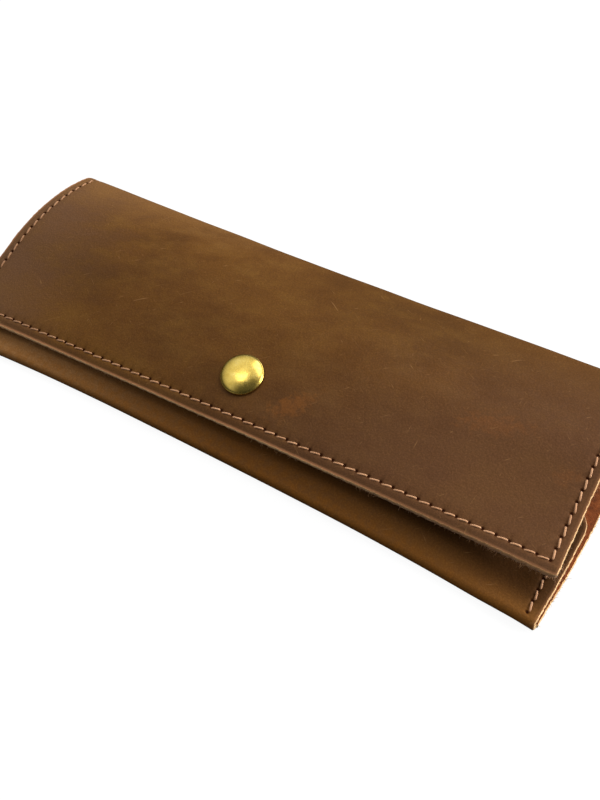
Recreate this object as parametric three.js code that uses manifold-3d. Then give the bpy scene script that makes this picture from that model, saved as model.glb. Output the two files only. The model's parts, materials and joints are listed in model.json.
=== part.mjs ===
// Soft pouch glasses case, cut from one leather hide and closed by a brass snap.
//
// The hide is a long strip. From the flap's front edge it runs back over the contents, turns down
// through the back fold, runs forward underneath, turns up through the bottom fold and ends as the
// short front panel. Two side seams close the pouch, and a lockstitch borders the flap.
//
// Frame, in millimetres: +X along the case, +Y from the snap towards the back fold, +Z up.
// The origin is on the flat underside of the back panel, half way along the case.

import * as THREE from 'three';
import { mergeGeometries, mergeVertices } from 'three/addons/utils/BufferGeometryUtils.js';
import Module from 'manifold-3d';

const wasm = await Module();
wasm.setup();

// ---------------------------------------------------------------- driving dimensions

const DEGREES = Math.PI / 180;
const LEATHER = 1.7;
const LAYER_GAP = 0.15;               // left between the two sewn layers
const GAP = 0.3;                      // clearance between neighbouring pieces
const HALF_LENGTH = 96.3;
const SIDE_BOW = 2.5;                 // how far the pouch's sides bow out past the flap's
const SIDE_BOW_SPAN = 80;             // distance over which they bow, back fold to bottom fold

// The flap's line, as [left end, middle, right end]: soft leather settles differently along X.
const FRONT_EDGE_Y = [-35.6, -34.3, -33.1];
const FRONT_EDGE_Z = [7.1, 10.9, 13.3];
const FRONT_EDGE_SLOPE = [13, 24, 0];          // degrees above level
const LIP_CURVE = [-0.0044, 0.0074, -0.011];   // bend per millimetre, positive is downwards
const CROWN_CURVE = [0.0163, 0.0148, 0.0158];
const LIP_LENGTH = 28.2;
const CROWN_LENGTH = 36.8;
const BACK_FOLD_RADIUS = 7.9;

// The hinge line is the middle of the back fold, just outside the leather.
const HINGE_Y = 37.6;
const HINGE_Z = 8.2;
const HINGE_CUT = 0.015;              // share of the fold left open on each side of the hinge

// The pouch: bottom fold and front panel, flat at the side seams and bulging between them.
const BOTTOM_Y_AT_SEAMS = -42.6;
const BOTTOM_Y_IN_MIDDLE = -39.3;
const BULGE_HALF_LENGTH = 90;
const BULGE_FULLNESS = 8;             // the higher, the closer to the seams the bulge starts
const BULGE_SLOPE = 20.6 * DEGREES;
const BULGE_CURVE = 0.0026;
const BULGE_FOLD_GROWTH = 0.18;
const FRONT_PANEL = 37;
const MOUTH_CORNER = 8;
const SEAM_LIFT = 0.9;                // the sewn margins stand off the table by this much
const SEAM_LIFT_START = 78;

// Stitching
const THREAD_RADIUS = 0.25;
const THREAD_GAP = 0.15;
const FRONT_STITCHES = 54;
const FLAP_SIDE_STITCHES = 20;
const POUCH_SIDE_STITCHES = 22;
const FRONT_INSET = 3.5;
const SIDE_INSET = 2.8;
const POUCH_SEAM_START = 1.7;         // first hole, past the hinge
const POUCH_SEAM_END = 0.7;           // last hole, short of the bottom fold
const SEAM_FOLLOWS_BOW = 0.25;        // share of the sides' bow that the pouch's seams follow
const HOLE_LENGTH = 1.7;
const HOLE_WIDTH = 1.1;

// Snap, measured along its axis down from the flap's outer face
const SNAP_FROM_EDGE = 15.1;
const CAP_RADIUS = 6.25;
const RIVET_RADIUS = 1.6;
const RIVET_HEAD_RADIUS = 2.2;
const SOCKET_RADIUS = 5.2;
const SPRING_RADIUS = 3.3;
const SPRING_WIRE = 0.3;
const STUD_RADIUS = 4.75;
const KNOB_RADIUS = 2.0;
const POST_RADIUS = 1.2;
const POST_FLANGE_RADIUS = 4.25;
const ROUND_STEPS = 20;

// Worked-out values
const TWO_LAYERS = 2 * LEATHER + LAYER_GAP;
const STITCH_X = HALF_LENGTH - SIDE_INSET;
const STITCH_PITCH = 2 * STITCH_X / FRONT_STITCHES;
const THREAD_STANDOFF = THREAD_GAP + THREAD_RADIUS;

// ---------------------------------------------------------------- the hide's line

// A value given at the left end, the middle and the right end, at place x.
function across([left, middle, right], x) {
  const t = x / HALF_LENGTH;
  return middle + (right - left) / 2 * t + ((right + left) / 2 - middle) * t * t;
}

// How much the pouch bulges at x: one in the middle, nothing at the seams.
function bulge(x) {
  const t = Math.min(Math.abs(x) / BULGE_HALF_LENGTH, 1);
  return (1 - t ** BULGE_FULLNESS) ** 2;
}

function seamLift(x) {
  const t = (Math.abs(x) - SEAM_LIFT_START) / (STITCH_X - SEAM_LIFT_START);
  return SEAM_LIFT * THREE.MathUtils.smoothstep(t, 0, 1);
}

function bottomY(x) {
  const t = Math.min(Math.abs(x) / HALF_LENGTH, 1);
  return BOTTOM_Y_AT_SEAMS + (BOTTOM_Y_IN_MIDDLE - BOTTOM_Y_AT_SEAMS) * (1 - t ** 3);
}

// The place and heading after a distance along a stretch of constant bend.
function advance({ y, z, heading }, bend, distance) {
  if (bend === 0) {
    return {
      y: y + distance * Math.cos(heading),
      z: z + distance * Math.sin(heading),
      heading,
    };
  }
  const turned = heading - bend * distance;
  return {
    y: y - (Math.sin(turned) - Math.sin(heading)) / bend,
    z: z + (Math.cos(turned) - Math.cos(heading)) / bend,
    heading: turned,
  };
}

// The hide's outer line at x as seven stretches, from the flap's front edge to the mouth.
const LIP = 0;
const CROWN = 1;
const UPPER_FOLD = 2;
const LOWER_FOLD = 3;
const BACK = 4;
const BOTTOM_FOLD = 5;
const FRONT = 6;

function stretchesAt(x) {
  const stretches = [];
  let place = {
    y: across(FRONT_EDGE_Y, x),
    z: across(FRONT_EDGE_Z, x),
    heading: across(FRONT_EDGE_SLOPE, x) * DEGREES,
  };
  const add = (bend, length) => {
    stretches.push({ start: place, bend, length });
    place = advance(place, bend, length);
  };

  add(across(LIP_CURVE, x), LIP_LENGTH);
  add(across(CROWN_CURVE, x), CROWN_LENGTH);

  const foldCentreZ = place.z - BACK_FOLD_RADIUS * Math.cos(place.heading);
  const hingeHeading = -Math.acos((HINGE_Z - foldCentreZ) / BACK_FOLD_RADIUS);
  add(1 / BACK_FOLD_RADIUS, (place.heading - hingeHeading) * BACK_FOLD_RADIUS);

  const lowerRadius = (HINGE_Z - seamLift(x)) / (1 + Math.cos(hingeHeading));
  add(1 / lowerRadius, (Math.PI + hingeHeading) * lowerRadius);

  const bottomRadius = TWO_LAYERS / 2 + BULGE_FOLD_GROWTH * bulge(x);
  const slope = BULGE_SLOPE * bulge(x);
  add(0, place.y - bottomY(x) - bottomRadius);
  add(1 / bottomRadius, (Math.PI - slope) * bottomRadius);
  add(BULGE_CURVE * bulge(x), FRONT_PANEL);
  return stretches;
}

// A place on the hide's outer face, with the directions along the hide and out of it.
function framed(x, { y, z, heading }) {
  return {
    position: new THREE.Vector3(x, y, z),
    along: new THREE.Vector3(0, Math.cos(heading), Math.sin(heading)),
    out: new THREE.Vector3(0, -Math.sin(heading), Math.cos(heading)),
  };
}

function onStretch(x, index, share) {
  const { start, bend, length } = stretchesAt(x)[index];
  return framed(x, advance(start, bend, length * share));
}

// The same, by distance from the start of a given stretch.
function onHide(x, distance, first) {
  let left = distance;
  for (const { start, bend, length } of stretchesAt(x).slice(first)) {
    if (left <= length) {
      return framed(x, advance(start, bend, left));
    }
    left -= length;
  }
  throw new Error('the hide ends before this distance');
}

function lengthOf(x, first, last) {
  return stretchesAt(x).slice(first, last + 1).reduce((sum, { length }) => sum + length, 0);
}

// Half the pouch's length where its edge passes y.
function pouchHalfLength(y) {
  const t = THREE.MathUtils.clamp((HINGE_Y - y) / SIDE_BOW_SPAN, 0, 1);
  const bow = t < 0.5 ? Math.sin(Math.PI * t) : 1 - (2 * t - 1) ** 1.6;
  return HALF_LENGTH + SIDE_BOW * bow;
}

// ---------------------------------------------------------------- solids

function bareGeometry(geometry) {
  const bare = geometry.clone();
  bare.deleteAttribute('normal');
  bare.deleteAttribute('uv');
  return mergeVertices(bare, 1e-4);
}

function toManifold(geometry) {
  const bare = bareGeometry(geometry);
  return new wasm.Manifold(new wasm.Mesh({
    numProp: 3,
    vertProperties: new Float32Array(bare.attributes.position.array),
    triVerts: new Uint32Array(bare.index.array),
  }));
}

function cut(geometry, cutters) {
  const mesh = toManifold(geometry).subtract(toManifold(mergeGeometries(cutters))).getMesh();
  const result = new THREE.BufferGeometry();
  result.setAttribute('position', new THREE.BufferAttribute(mesh.vertProperties, 3));
  result.setIndex(new THREE.BufferAttribute(mesh.triVerts, 1));
  result.computeVertexNormals();
  return result;
}

// A flat blank bent to the hide's line. Each station is a stretch, a share of it and half its length
// along X. The steps along X shorten towards the ends, where the leather's form changes fastest.
const LENGTH_STEPS = 14;

function bentHide(stations) {
  const rows = stations.length - 1;
  const blank = bareGeometry(new THREE.BoxGeometry(2, 1, 1, LENGTH_STEPS, rows, 1));
  const position = blank.attributes.position;
  for (let i = 0; i < position.count; i += 1) {
    const row = Math.round((position.getY(i) + 0.5) * rows);
    const depth = position.getZ(i) > 0 ? 0 : LEATHER;
    const { stretch, share, half } = stations[row];
    const x = half * Math.sin(position.getX(i) * Math.PI / 2);
    const place = onStretch(x, stretch, share);
    place.position.addScaledVector(place.out, -depth);
    position.setXYZ(i, place.position.x, place.position.y, place.position.z);
  }
  blank.computeVertexNormals();
  return blank;
}

function spread(stretch, shares, halfAt) {
  return shares.map((share) => ({ stretch, share, half: halfAt(stretch, share) }));
}

// A round bar along a path of { position, out } places, closed at both ends.
const BAR_SIDES = 4;

function bar(path, radius, sides = BAR_SIDES) {
  const rings = path.length - 1;
  const geometry = new THREE.CylinderGeometry(radius, radius, 1, sides, rings);
  const vertices = geometry.attributes.position;
  const frames = path.map(({ position, out }, i) => {
    const before = path[Math.max(i - 1, 0)].position;
    const after = path[Math.min(i + 1, rings)].position;
    const tangent = after.clone().sub(before).normalize();
    const up = out.clone().addScaledVector(tangent, -out.dot(tangent)).normalize();
    return { position, up, side: tangent.clone().cross(up) };
  });
  for (let i = 0; i < vertices.count; i += 1) {
    const { position, up, side } = frames[Math.round((0.5 - vertices.getY(i)) * rings)];
    const vertex = position.clone()
      .addScaledVector(up, vertices.getX(i))
      .addScaledVector(side, vertices.getZ(i));
    vertices.setXYZ(i, vertex.x, vertex.y, vertex.z);
  }
  const welded = bareGeometry(geometry);
  welded.computeVertexNormals();
  return welded;
}

// ---------------------------------------------------------------- stitching

// Adds each hole's stitch direction, from its neighbours.
function withDirections(holes) {
  return holes.map((hole, i) => {
    const before = holes[Math.max(i - 1, 0)].position;
    const after = holes[Math.min(i + 1, holes.length - 1)].position;
    return { ...hole, direction: after.clone().sub(before).normalize() };
  });
}

// Up the left side to the front corner, along the front, and back up the right side.
function flapHoles() {
  const holes = [];
  const sideHole = (x, k) => ({ ...onHide(x, FRONT_INSET + k * STITCH_PITCH, LIP), stack: LEATHER });
  for (let k = FLAP_SIDE_STITCHES; k > 0; k -= 1) {
    holes.push(sideHole(-STITCH_X, k));
  }
  for (let k = 0; k <= FRONT_STITCHES; k += 1) {
    holes.push(sideHole(-STITCH_X + k * STITCH_PITCH, 0));
  }
  for (let k = 1; k <= FLAP_SIDE_STITCHES; k += 1) {
    holes.push(sideHole(STITCH_X, k));
  }
  return withDirections(holes);
}

// From the hinge down the back fold and along the back panel to the bottom corner. Below the mouth
// the same holes also pass through the front panel.
function pouchHoles(side) {
  const total = lengthOf(side * STITCH_X, LOWER_FOLD, BACK) - POUCH_SEAM_START - POUCH_SEAM_END;
  const mouthY = onStretch(side * STITCH_X, FRONT, 1).position.y;
  const holes = [];
  for (let k = 0; k <= POUCH_SIDE_STITCHES; k += 1) {
    const distance = POUCH_SEAM_START + total * k / POUCH_SIDE_STITCHES;
    const guess = onHide(side * STITCH_X, distance, LOWER_FOLD).position.y;
    const x = side * (STITCH_X + SEAM_FOLLOWS_BOW * (pouchHalfLength(guess) - HALF_LENGTH));
    const place = onHide(x, distance, LOWER_FOLD);
    holes.push({ ...place, stack: place.position.y < mouthY ? TWO_LAYERS : LEATHER });
  }
  return withDirections(holes);
}

function holeCutter({ position, out, direction, stack }) {
  const side = direction.clone().cross(out).normalize();
  const cutter = new THREE.BoxGeometry(HOLE_LENGTH, stack + LEATHER, HOLE_WIDTH);
  const centre = position.clone().addScaledVector(out, -stack / 2);
  cutter.applyMatrix4(new THREE.Matrix4().makeBasis(direction, out, side).setPosition(centre));
  return cutter;
}

// The needle thread lies on the outer face and loops down through every hole.
const LOOP_HALF_WIDTH = 0.5;

function needleThread(holes) {
  const path = holes.flatMap(({ position, out, direction, stack }, i) => {
    const surface = (shift) => ({
      position: position.clone()
        .addScaledVector(direction, shift)
        .addScaledVector(out, THREAD_STANDOFF),
      out,
    });
    const loop = {
      position: position.clone().addScaledVector(out, THREAD_RADIUS - stack),
      out,
    };
    const places = [surface(-LOOP_HALF_WIDTH), loop, surface(LOOP_HALF_WIDTH)];
    return places.slice(i === 0 ? 1 : 0, i === holes.length - 1 ? 2 : 3);
  });
  return bar(path, THREAD_RADIUS);
}

// The bobbin thread is drawn straight along the far face, under the needle thread's loops.
function bobbinThread(holes) {
  const path = holes
    .filter((_, i) => i % 2 === 0)
    .map(({ position, out, stack }) => ({
      position: position.clone().addScaledVector(out, -stack - THREAD_STANDOFF),
      out,
    }));
  return bar(path, THREAD_RADIUS);
}

// ---------------------------------------------------------------- hides

const flapStitching = flapHoles();
const leftStitching = pouchHoles(-1);
const rightStitching = pouchHoles(1);
const snap = onHide(0, SNAP_FROM_EDGE, LIP);

// Turns a shape made along +Y, in depths below the flap's outer face, onto the snap's axis.
function onSnapAxis(geometry) {
  const sideways = new THREE.Vector3(1, 0, 0);
  const back = sideways.clone().cross(snap.out);
  return geometry.applyMatrix4(
    new THREE.Matrix4().makeBasis(sideways, snap.out, back).setPosition(snap.position));
}

function snapHole(radius, depth, height) {
  const hole = new THREE.CylinderGeometry(radius, radius, height, ROUND_STEPS);
  hole.translate(0, -depth, 0);
  return onSnapAxis(hole);
}

function flapHide() {
  const half = () => HALF_LENGTH;
  const blank = bentHide([
    ...spread(LIP, [0, 0.25, 0.5, 0.75], half),
    ...spread(CROWN, [0, 0.25, 0.5, 0.75], half),
    ...spread(UPPER_FOLD, [0, 0.2, 0.4, 0.6, 0.8, 1 - HINGE_CUT], half),
  ]);
  const rivetHole = snapHole(RIVET_RADIUS + GAP, LEATHER / 2, 2 * LEATHER);
  return cut(blank, [...flapStitching.map(holeCutter), rivetHole]);
}

// The front panel's edges follow the back panel's, with a rounded corner at each end of the mouth.
function pouchHalfAt(stretch, share) {
  const half = pouchHalfLength(onStretch(HALF_LENGTH, stretch, share).position.y);
  const fromMouth = FRONT_PANEL * (1 - share);
  if (stretch !== FRONT || fromMouth >= MOUTH_CORNER) {
    return half;
  }
  return half - MOUTH_CORNER + Math.sqrt(MOUTH_CORNER ** 2 - (MOUTH_CORNER - fromMouth) ** 2);
}

const FRONT_PANEL_DEPTH = 5.95;       // its outer face, along the snap's axis

function pouchHide() {
  const cornerShares = [75, 50, 30, 15, 0].map((turn) => {
    const fromMouth = MOUTH_CORNER * (1 - Math.cos(turn * DEGREES));
    return 1 - fromMouth / FRONT_PANEL;
  });
  const blank = bentHide([
    ...spread(LOWER_FOLD, [HINGE_CUT, 0.2, 0.4, 0.6, 0.8], pouchHalfAt),
    ...spread(BACK, [0, 0.25, 0.5, 0.75], pouchHalfAt),
    ...spread(BOTTOM_FOLD, [0, 0.25, 0.5, 0.75], pouchHalfAt),
    ...spread(FRONT, [0, 0.2, 0.4, 0.6, 1 - MOUTH_CORNER / FRONT_PANEL, ...cornerShares], pouchHalfAt),
  ]);
  const postHole = snapHole(POST_RADIUS + GAP, FRONT_PANEL_DEPTH + LEATHER / 2, 2 * LEATHER);
  return cut(blank, [...[...leftStitching, ...rightStitching].map(holeCutter), postHole]);
}

// ---------------------------------------------------------------- snap

// Depths along the snap's axis, below the flap's outer face.
const SOCKET_TOP = LEATHER + GAP;
const SOCKET_PLATE = 0.5;
const SOCKET_BOTTOM = 4.7;
const SOCKET_MOUTH_RADIUS = 2.6;
const SOCKET_BORE_RADIUS = 3.9;
const RIVET_HEAD_TOP = 2.85;
const RIVET_HEAD_BOTTOM = 3.15;
const SPRING_DEPTH = 3.5;
const KNOB_TOP = 3.45;
const STUD_TOP = 5.15;
const STUD_BOTTOM = FRONT_PANEL_DEPTH - GAP;
const STUD_BORE_TOP = 4.5;
const POST_TOP = 4.8;
const POST_FLANGE_TOP = FRONT_PANEL_DEPTH + LEATHER + GAP;
const POST_FLANGE = 0.5;

// A turned piece, from [radius, depth] corners in order round its outline. Height is up the axis.
function turned(outline) {
  const points = outline.map(([radius, depth]) => new THREE.Vector2(radius, -depth));
  return onSnapAxis(new THREE.LatheGeometry(points, ROUND_STEPS));
}

// Low dome with a rounded rim, its rivet and the head spread under the socket's plate.
function snapCap() {
  const rimHeight = 0.9;
  const domeHeight = 1.3;
  const rimTurn = 0.6;
  const dome = [15, 40, 65, 90].map((turn) => [
    (CAP_RADIUS - rimTurn) * Math.cos(turn * DEGREES) ** 0.8,
    -GAP - rimHeight - domeHeight * Math.sin(turn * DEGREES),
  ]);
  dome[dome.length - 1][0] = 0;
  return turned([
    [0, RIVET_HEAD_BOTTOM],
    [RIVET_HEAD_RADIUS, RIVET_HEAD_BOTTOM],
    [RIVET_HEAD_RADIUS, RIVET_HEAD_TOP],
    [RIVET_RADIUS, RIVET_HEAD_TOP],
    [RIVET_RADIUS, -GAP],
    [CAP_RADIUS - 0.3, -GAP],
    [CAP_RADIUS, -GAP - 0.35],
    [CAP_RADIUS, -GAP - rimHeight],
    ...dome,
  ]);
}

function snapSocket() {
  const lip = 0.4;
  const hole = RIVET_RADIUS + GAP;
  return turned([
    [hole, SOCKET_TOP + SOCKET_PLATE],
    [SOCKET_BORE_RADIUS, SOCKET_TOP + SOCKET_PLATE],
    [SOCKET_BORE_RADIUS, SOCKET_BOTTOM - lip],
    [SOCKET_MOUTH_RADIUS, SOCKET_BOTTOM - lip],
    [SOCKET_MOUTH_RADIUS, SOCKET_BOTTOM],
    [SOCKET_RADIUS - 0.4, SOCKET_BOTTOM],
    [SOCKET_RADIUS, SOCKET_BOTTOM - 0.5],
    [SOCKET_RADIUS, SOCKET_TOP + 0.3],
    [SOCKET_RADIUS - 0.3, SOCKET_TOP],
    [hole, SOCKET_TOP],
    [hole, SOCKET_TOP + SOCKET_PLATE],
  ]);
}

// Split ring of wire inside the socket, which grips the stud's knob.
function snapSpring() {
  const openAngle = 50 * DEGREES;
  const steps = 18;
  const path = [];
  for (let i = 0; i <= steps; i += 1) {
    const turn = openAngle / 2 + (2 * Math.PI - openAngle) * i / steps;
    const position = new THREE.Vector3(Math.cos(turn), 0, Math.sin(turn)).multiplyScalar(SPRING_RADIUS);
    position.y = -SPRING_DEPTH;
    path.push({ position, out: new THREE.Vector3(0, 1, 0) });
  }
  return onSnapAxis(bar(path, SPRING_WIRE, 6));
}

// Flanged knob, hollow underneath where the post is pressed in.
function snapStud() {
  const bore = POST_RADIUS + GAP;
  const knobHeight = STUD_TOP - KNOB_TOP;
  const knob = [0, 25, 50, 70, 90].map((turn) => [
    KNOB_RADIUS * Math.cos(turn * DEGREES),
    STUD_TOP - knobHeight * Math.sin(turn * DEGREES),
  ]);
  knob[knob.length - 1][0] = 0;
  return turned([
    [0, STUD_BORE_TOP],
    [bore, STUD_BORE_TOP],
    [bore, STUD_BOTTOM],
    [STUD_RADIUS, STUD_BOTTOM],
    [STUD_RADIUS, STUD_TOP + 0.15],
    [STUD_RADIUS - 0.3, STUD_TOP],
    ...knob,
  ]);
}

function snapPost() {
  return turned([
    [0, POST_FLANGE_TOP + POST_FLANGE],
    [POST_FLANGE_RADIUS - 0.2, POST_FLANGE_TOP + POST_FLANGE],
    [POST_FLANGE_RADIUS, POST_FLANGE_TOP + POST_FLANGE / 2],
    [POST_FLANGE_RADIUS, POST_FLANGE_TOP],
    [POST_RADIUS, POST_FLANGE_TOP],
    [POST_RADIUS, POST_TOP],
    [0, POST_TOP],
  ]);
}

// ---------------------------------------------------------------- assembly

const leather = () => new THREE.MeshStandardMaterial({ color: 0x6c4825, roughness: 0.62 });
const thread = () => new THREE.MeshStandardMaterial({ color: 0xb98a5e, roughness: 0.8 });
const brass = () => new THREE.MeshStandardMaterial({ color: 0xc8a45c, roughness: 0.28, metalness: 1 });

const glassesCase = new THREE.Group();

function place(name, geometry, material) {
  const mesh = new THREE.Mesh(geometry, material);
  mesh.name = name;
  glassesCase.add(mesh);
}

place('pouch_hide', pouchHide(), leather());
place('flap_hide', flapHide(), leather());
place('flap_border_needle_thread', needleThread(flapStitching), thread());
place('flap_border_bobbin_thread', bobbinThread(flapStitching), thread());
place('left_seam_needle_thread', needleThread(leftStitching), thread());
place('left_seam_bobbin_thread', bobbinThread(leftStitching), thread());
place('right_seam_needle_thread', needleThread(rightStitching), thread());
place('right_seam_bobbin_thread', bobbinThread(rightStitching), thread());
place('snap_cap', snapCap(), brass());
place('snap_socket', snapSocket(), brass());
place('snap_spring', snapSpring(), brass());
place('snap_stud', snapStud(), brass());
place('snap_post', snapPost(), brass());

export default glassesCase;
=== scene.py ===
"""Soft pouch glasses case: one oiled leather hide, stitched round its flap and sides, with a brass snap."""

import json
import math

import bmesh
import bpy
import numpy as np
from mathutils import Matrix, Vector


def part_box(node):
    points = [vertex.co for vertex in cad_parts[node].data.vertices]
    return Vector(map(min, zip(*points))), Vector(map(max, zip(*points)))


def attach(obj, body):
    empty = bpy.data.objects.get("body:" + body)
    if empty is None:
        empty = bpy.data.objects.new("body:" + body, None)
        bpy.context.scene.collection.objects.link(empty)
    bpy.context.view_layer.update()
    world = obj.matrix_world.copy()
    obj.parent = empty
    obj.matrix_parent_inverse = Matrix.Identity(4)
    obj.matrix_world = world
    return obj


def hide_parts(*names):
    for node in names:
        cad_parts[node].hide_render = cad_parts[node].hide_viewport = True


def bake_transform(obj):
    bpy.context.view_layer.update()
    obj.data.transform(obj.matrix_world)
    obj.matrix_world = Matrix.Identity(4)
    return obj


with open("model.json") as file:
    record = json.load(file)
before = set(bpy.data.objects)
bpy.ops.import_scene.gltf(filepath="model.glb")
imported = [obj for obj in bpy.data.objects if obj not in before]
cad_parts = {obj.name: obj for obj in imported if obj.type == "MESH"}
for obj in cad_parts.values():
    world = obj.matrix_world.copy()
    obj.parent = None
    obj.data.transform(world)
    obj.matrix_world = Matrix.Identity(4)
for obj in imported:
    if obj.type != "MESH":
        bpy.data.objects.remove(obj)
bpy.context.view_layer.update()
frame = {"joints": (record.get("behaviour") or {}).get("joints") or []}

MM = 0.001  # sizes are in millimetres, and meshes are scaled to metres when they are made

# ---- the hide's driving dimensions

HALF_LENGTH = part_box("flap_hide")[1].x / MM
LEATHER = 1.7
LAYER_GAP = 0.15  # left between the two sewn layers
TWO_LAYERS = 2 * LEATHER + LAYER_GAP
GAP = 0.3  # clearance between neighbouring pieces
SIDE_BOW = 2.5  # how far the pouch's sides bow out past the flap's
SIDE_BOW_SPAN = 80.0  # back fold to bottom fold
SIDE_BOW_POWER = 1.6

# The flap's line, as (left end, middle, right end).
FRONT_EDGE_Y = (-35.6, -34.3, -33.1)
FRONT_EDGE_Z = (7.1, 10.9, 13.3)
FRONT_EDGE_SLOPE = (13.0, 24.0, 0.0)  # degrees above level
LIP_CURVE = (-0.0044, 0.0074, -0.011)  # bend per millimetre, positive is downwards
CROWN_CURVE = (0.0163, 0.0148, 0.0158)
LIP_LENGTH = 28.2
CROWN_LENGTH = 36.8
BACK_FOLD_RADIUS = 7.9
HINGE_Y, HINGE_Z = (c / MM for c in frame["joints"][0]["pos_m"][1:])

# The bottom fold and front panel, flat at the side seams and bulging between them.
BOTTOM_Y_AT_SEAMS = -42.6
BOTTOM_Y_IN_MIDDLE = -39.3
BULGE_HALF_LENGTH = 90.0
BULGE_FULLNESS = 8  # higher starts the bulge closer to the seams
BULGE_SLOPE = math.radians(20.6)
BULGE_CURVE = 0.0026
BULGE_FOLD_GROWTH = 0.18
FRONT_PANEL = 37.0
MOUTH_CORNER = 8.0
SEAM_LIFT = 0.9  # of the sewn margins off the table
SEAM_LIFT_START = 78.0

# How far the leather strays from that smooth line.
PANEL_SINK = 0.35
FLAP_WANDER = 0.15
EDGE_RIPPLE = 0.1
FREE_OF_TABLE = 3.0  # height where the table no longer flattens it
RESTS_BEFORE = 45.0  # flat distance at which the flap starts to rest on the pouch
RESTS_WITHIN = 15.0

# ---- stitching and edges

FRONT_INSET = 3.5  # of the stitch line from the cut edge
SIDE_INSET = 2.8
FRONT_STITCHES = 54
STITCH_X = HALF_LENGTH - SIDE_INSET
PITCH = 2 * STITCH_X / FRONT_STITCHES
SEAM_END_INSET = 0.7
MOUTH_INSET = 1.5
SEAM_FOLLOWS_BOW = 0.25  # share of the sides' bow
THREAD_RADIUS = 0.26
PLY_HEIGHT = 0.13  # share of the thread's radius
PLY_DEPTH = 0.08
CORD_FLATNESS = 0.86
CORD_END = 0.55  # share of the thickness left at an end
CORD_TAPER = 0.8
STITCH_SLANT = 0.5  # sideways, from one hole to the next
STITCH_SLANT_VARIES = 0.05
STITCH_RISE = 0.03
STITCH_RISE_VARIES = 0.03
STITCH_SUNK = 0.7
STITCH_MARGIN = 0.12  # share of the pitch, from a hole's middle to the stitch's end
STITCH_SQUARENESS = 0.24  # lower lies flatter between the holes
STITCH_STEPS = (0.0, 0.05, 0.11, 0.19, 0.32, 0.5, 0.68, 0.81, 0.89, 0.95, 1.0)
BACK_TACK = ((0.0, -0.2, 0.5), (2.0, 0.35, 0.62))  # twist, slant and rise of each extra stitch
GROOVE = 0.12  # pressed by the thread
GROOVE_WIDTH = 0.8
HOLE_DIMPLE = 0.5
HOLE_RADIUS = 0.38
SHOWS_INSIDE = 0.8  # share of these that shows on the flesh side
EDGE_ROUND = 0.2
EDGE_SECTION = ((0.13, 0.0), (0.5, 0.06), (0.87, 0.0))  # (share of the depth, how far it stands out)
WEAR_WIDTH = 0.38
BACK_LAYER_STEP = 0.45  # how far the back layer's edge stands out
BACK_LAYER_SPREAD = 1.0  # and further beside the mouth
BACK_LAYER_SPAN = 30.0
FLAP_CORNER = 1.1

FLAP_FIBRES = 8.0  # per millimetre of edge
POUCH_FIBRES = 4.5
FIBRE_SHORTEST = 0.25
FIBRE_SPREAD = 0.3
FIBRE_LONGEST = 1.7
FIBRE_WIDTH = (0.03, 0.065)
FIBRE_TAPER = 0.8

# ---- mesh spacing

ROW_SPACING = 3.4
COLUMN_SPACING = 1.7
BESIDE_HOLE = (-0.65, -0.3, 0.0, 0.3, 0.65)
CLEAR_OF_HOLE = 1.0  # evenly spaced rows nearer to a hole are left out
FLAP_EDGE_ROWS = (0.35, 0.9, 1.6, 2.3)
FLAP_EDGE_COLUMNS = (0.4, 1.0, 1.6)
POUCH_EDGE_COLUMNS = (0, 0.4, 1.0, 1.7, 2.4, 2.8, 3.1, 3.4, 3.7, 4.0, 4.3, 4.6, 5.0, 5.6, 6.5)
POUCH_MIDDLE_COLUMNS = 54
BACK_FOLD_ROWS = 17
BOTTOM_FOLD_ROWS = 15
CORNER_ROWS = 12
CORNER_STARTS = 1.35  # radians round the mouth corner
NO_HOLE_NEAR = 9.0  # the distance to a hole that cut edges store

# ---- the snap

SNAP_FROM_EDGE = 15.1
SNAP_Y = -19.3
SNAP_HOLDS = 12.0  # the snap clamps the leather flat within this
CAP_RADIUS = 6.25
CAP_CURL = 0.4
CAP_CURL_SPAN = (-90.0, 72.0)  # degrees from level, round the rim's bead
CAP_DOME = 1.4
SPRING_RADIUS = 3.3
SPRING_DEPTH = 3.5
SPRING_WIRE = 0.29
SPRING_SPAN = (25.0, 335.0)
SPRING_SIDES = 10

# ---- stretches of the hide, front edge to mouth

LIP, CROWN, UPPER_FOLD, LOWER_FOLD, BACK, BOTTOM_FOLD, FRONT = range(7)


def falloff(t):
    """1 at nought, dying away past 1."""
    return np.exp(-(t**2))


def smoothstep(t):
    t = np.clip(t, 0.0, 1.0)
    return t * t * (3 - 2 * t)


# ---- the hide's line


def across(triple, x):
    """A smooth curve over x through a left end, middle and right end."""
    left, middle, right = triple
    t = x / HALF_LENGTH
    return middle + (right - left) / 2 * t + ((right + left) / 2 - middle) * t * t


def bulge(x):
    """1 where the front panel bulges fully, 0 at the side seams."""
    t = np.minimum(np.abs(x) / BULGE_HALF_LENGTH, 1.0)
    return (1 - t**BULGE_FULLNESS) ** 2


def seam_lift(x):
    """How far the underside stands off the table towards the sewn sides."""
    return SEAM_LIFT * smoothstep((np.abs(x) - SEAM_LIFT_START) / (STITCH_X - SEAM_LIFT_START))


def bottom_y(x):
    """Where the bottom fold reaches furthest forward."""
    t = np.minimum(np.abs(x) / HALF_LENGTH, 1.0)
    return BOTTOM_Y_AT_SEAMS + (BOTTOM_Y_IN_MIDDLE - BOTTOM_Y_AT_SEAMS) * (1 - t**3)


def advance(place, bend, distance):
    """The (y, z, heading) after a distance along a stretch of constant bend."""
    y, z, heading = place
    small = np.abs(bend) < 1e-6
    safe = np.where(small, 1.0, bend)
    turned = heading - bend * distance
    along_y = np.where(small, distance * np.cos(heading), (np.sin(heading) - np.sin(turned)) / safe)
    along_z = np.where(small, distance * np.sin(heading), (np.cos(turned) - np.cos(heading)) / safe)
    return y + along_y, z + along_z, turned


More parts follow.
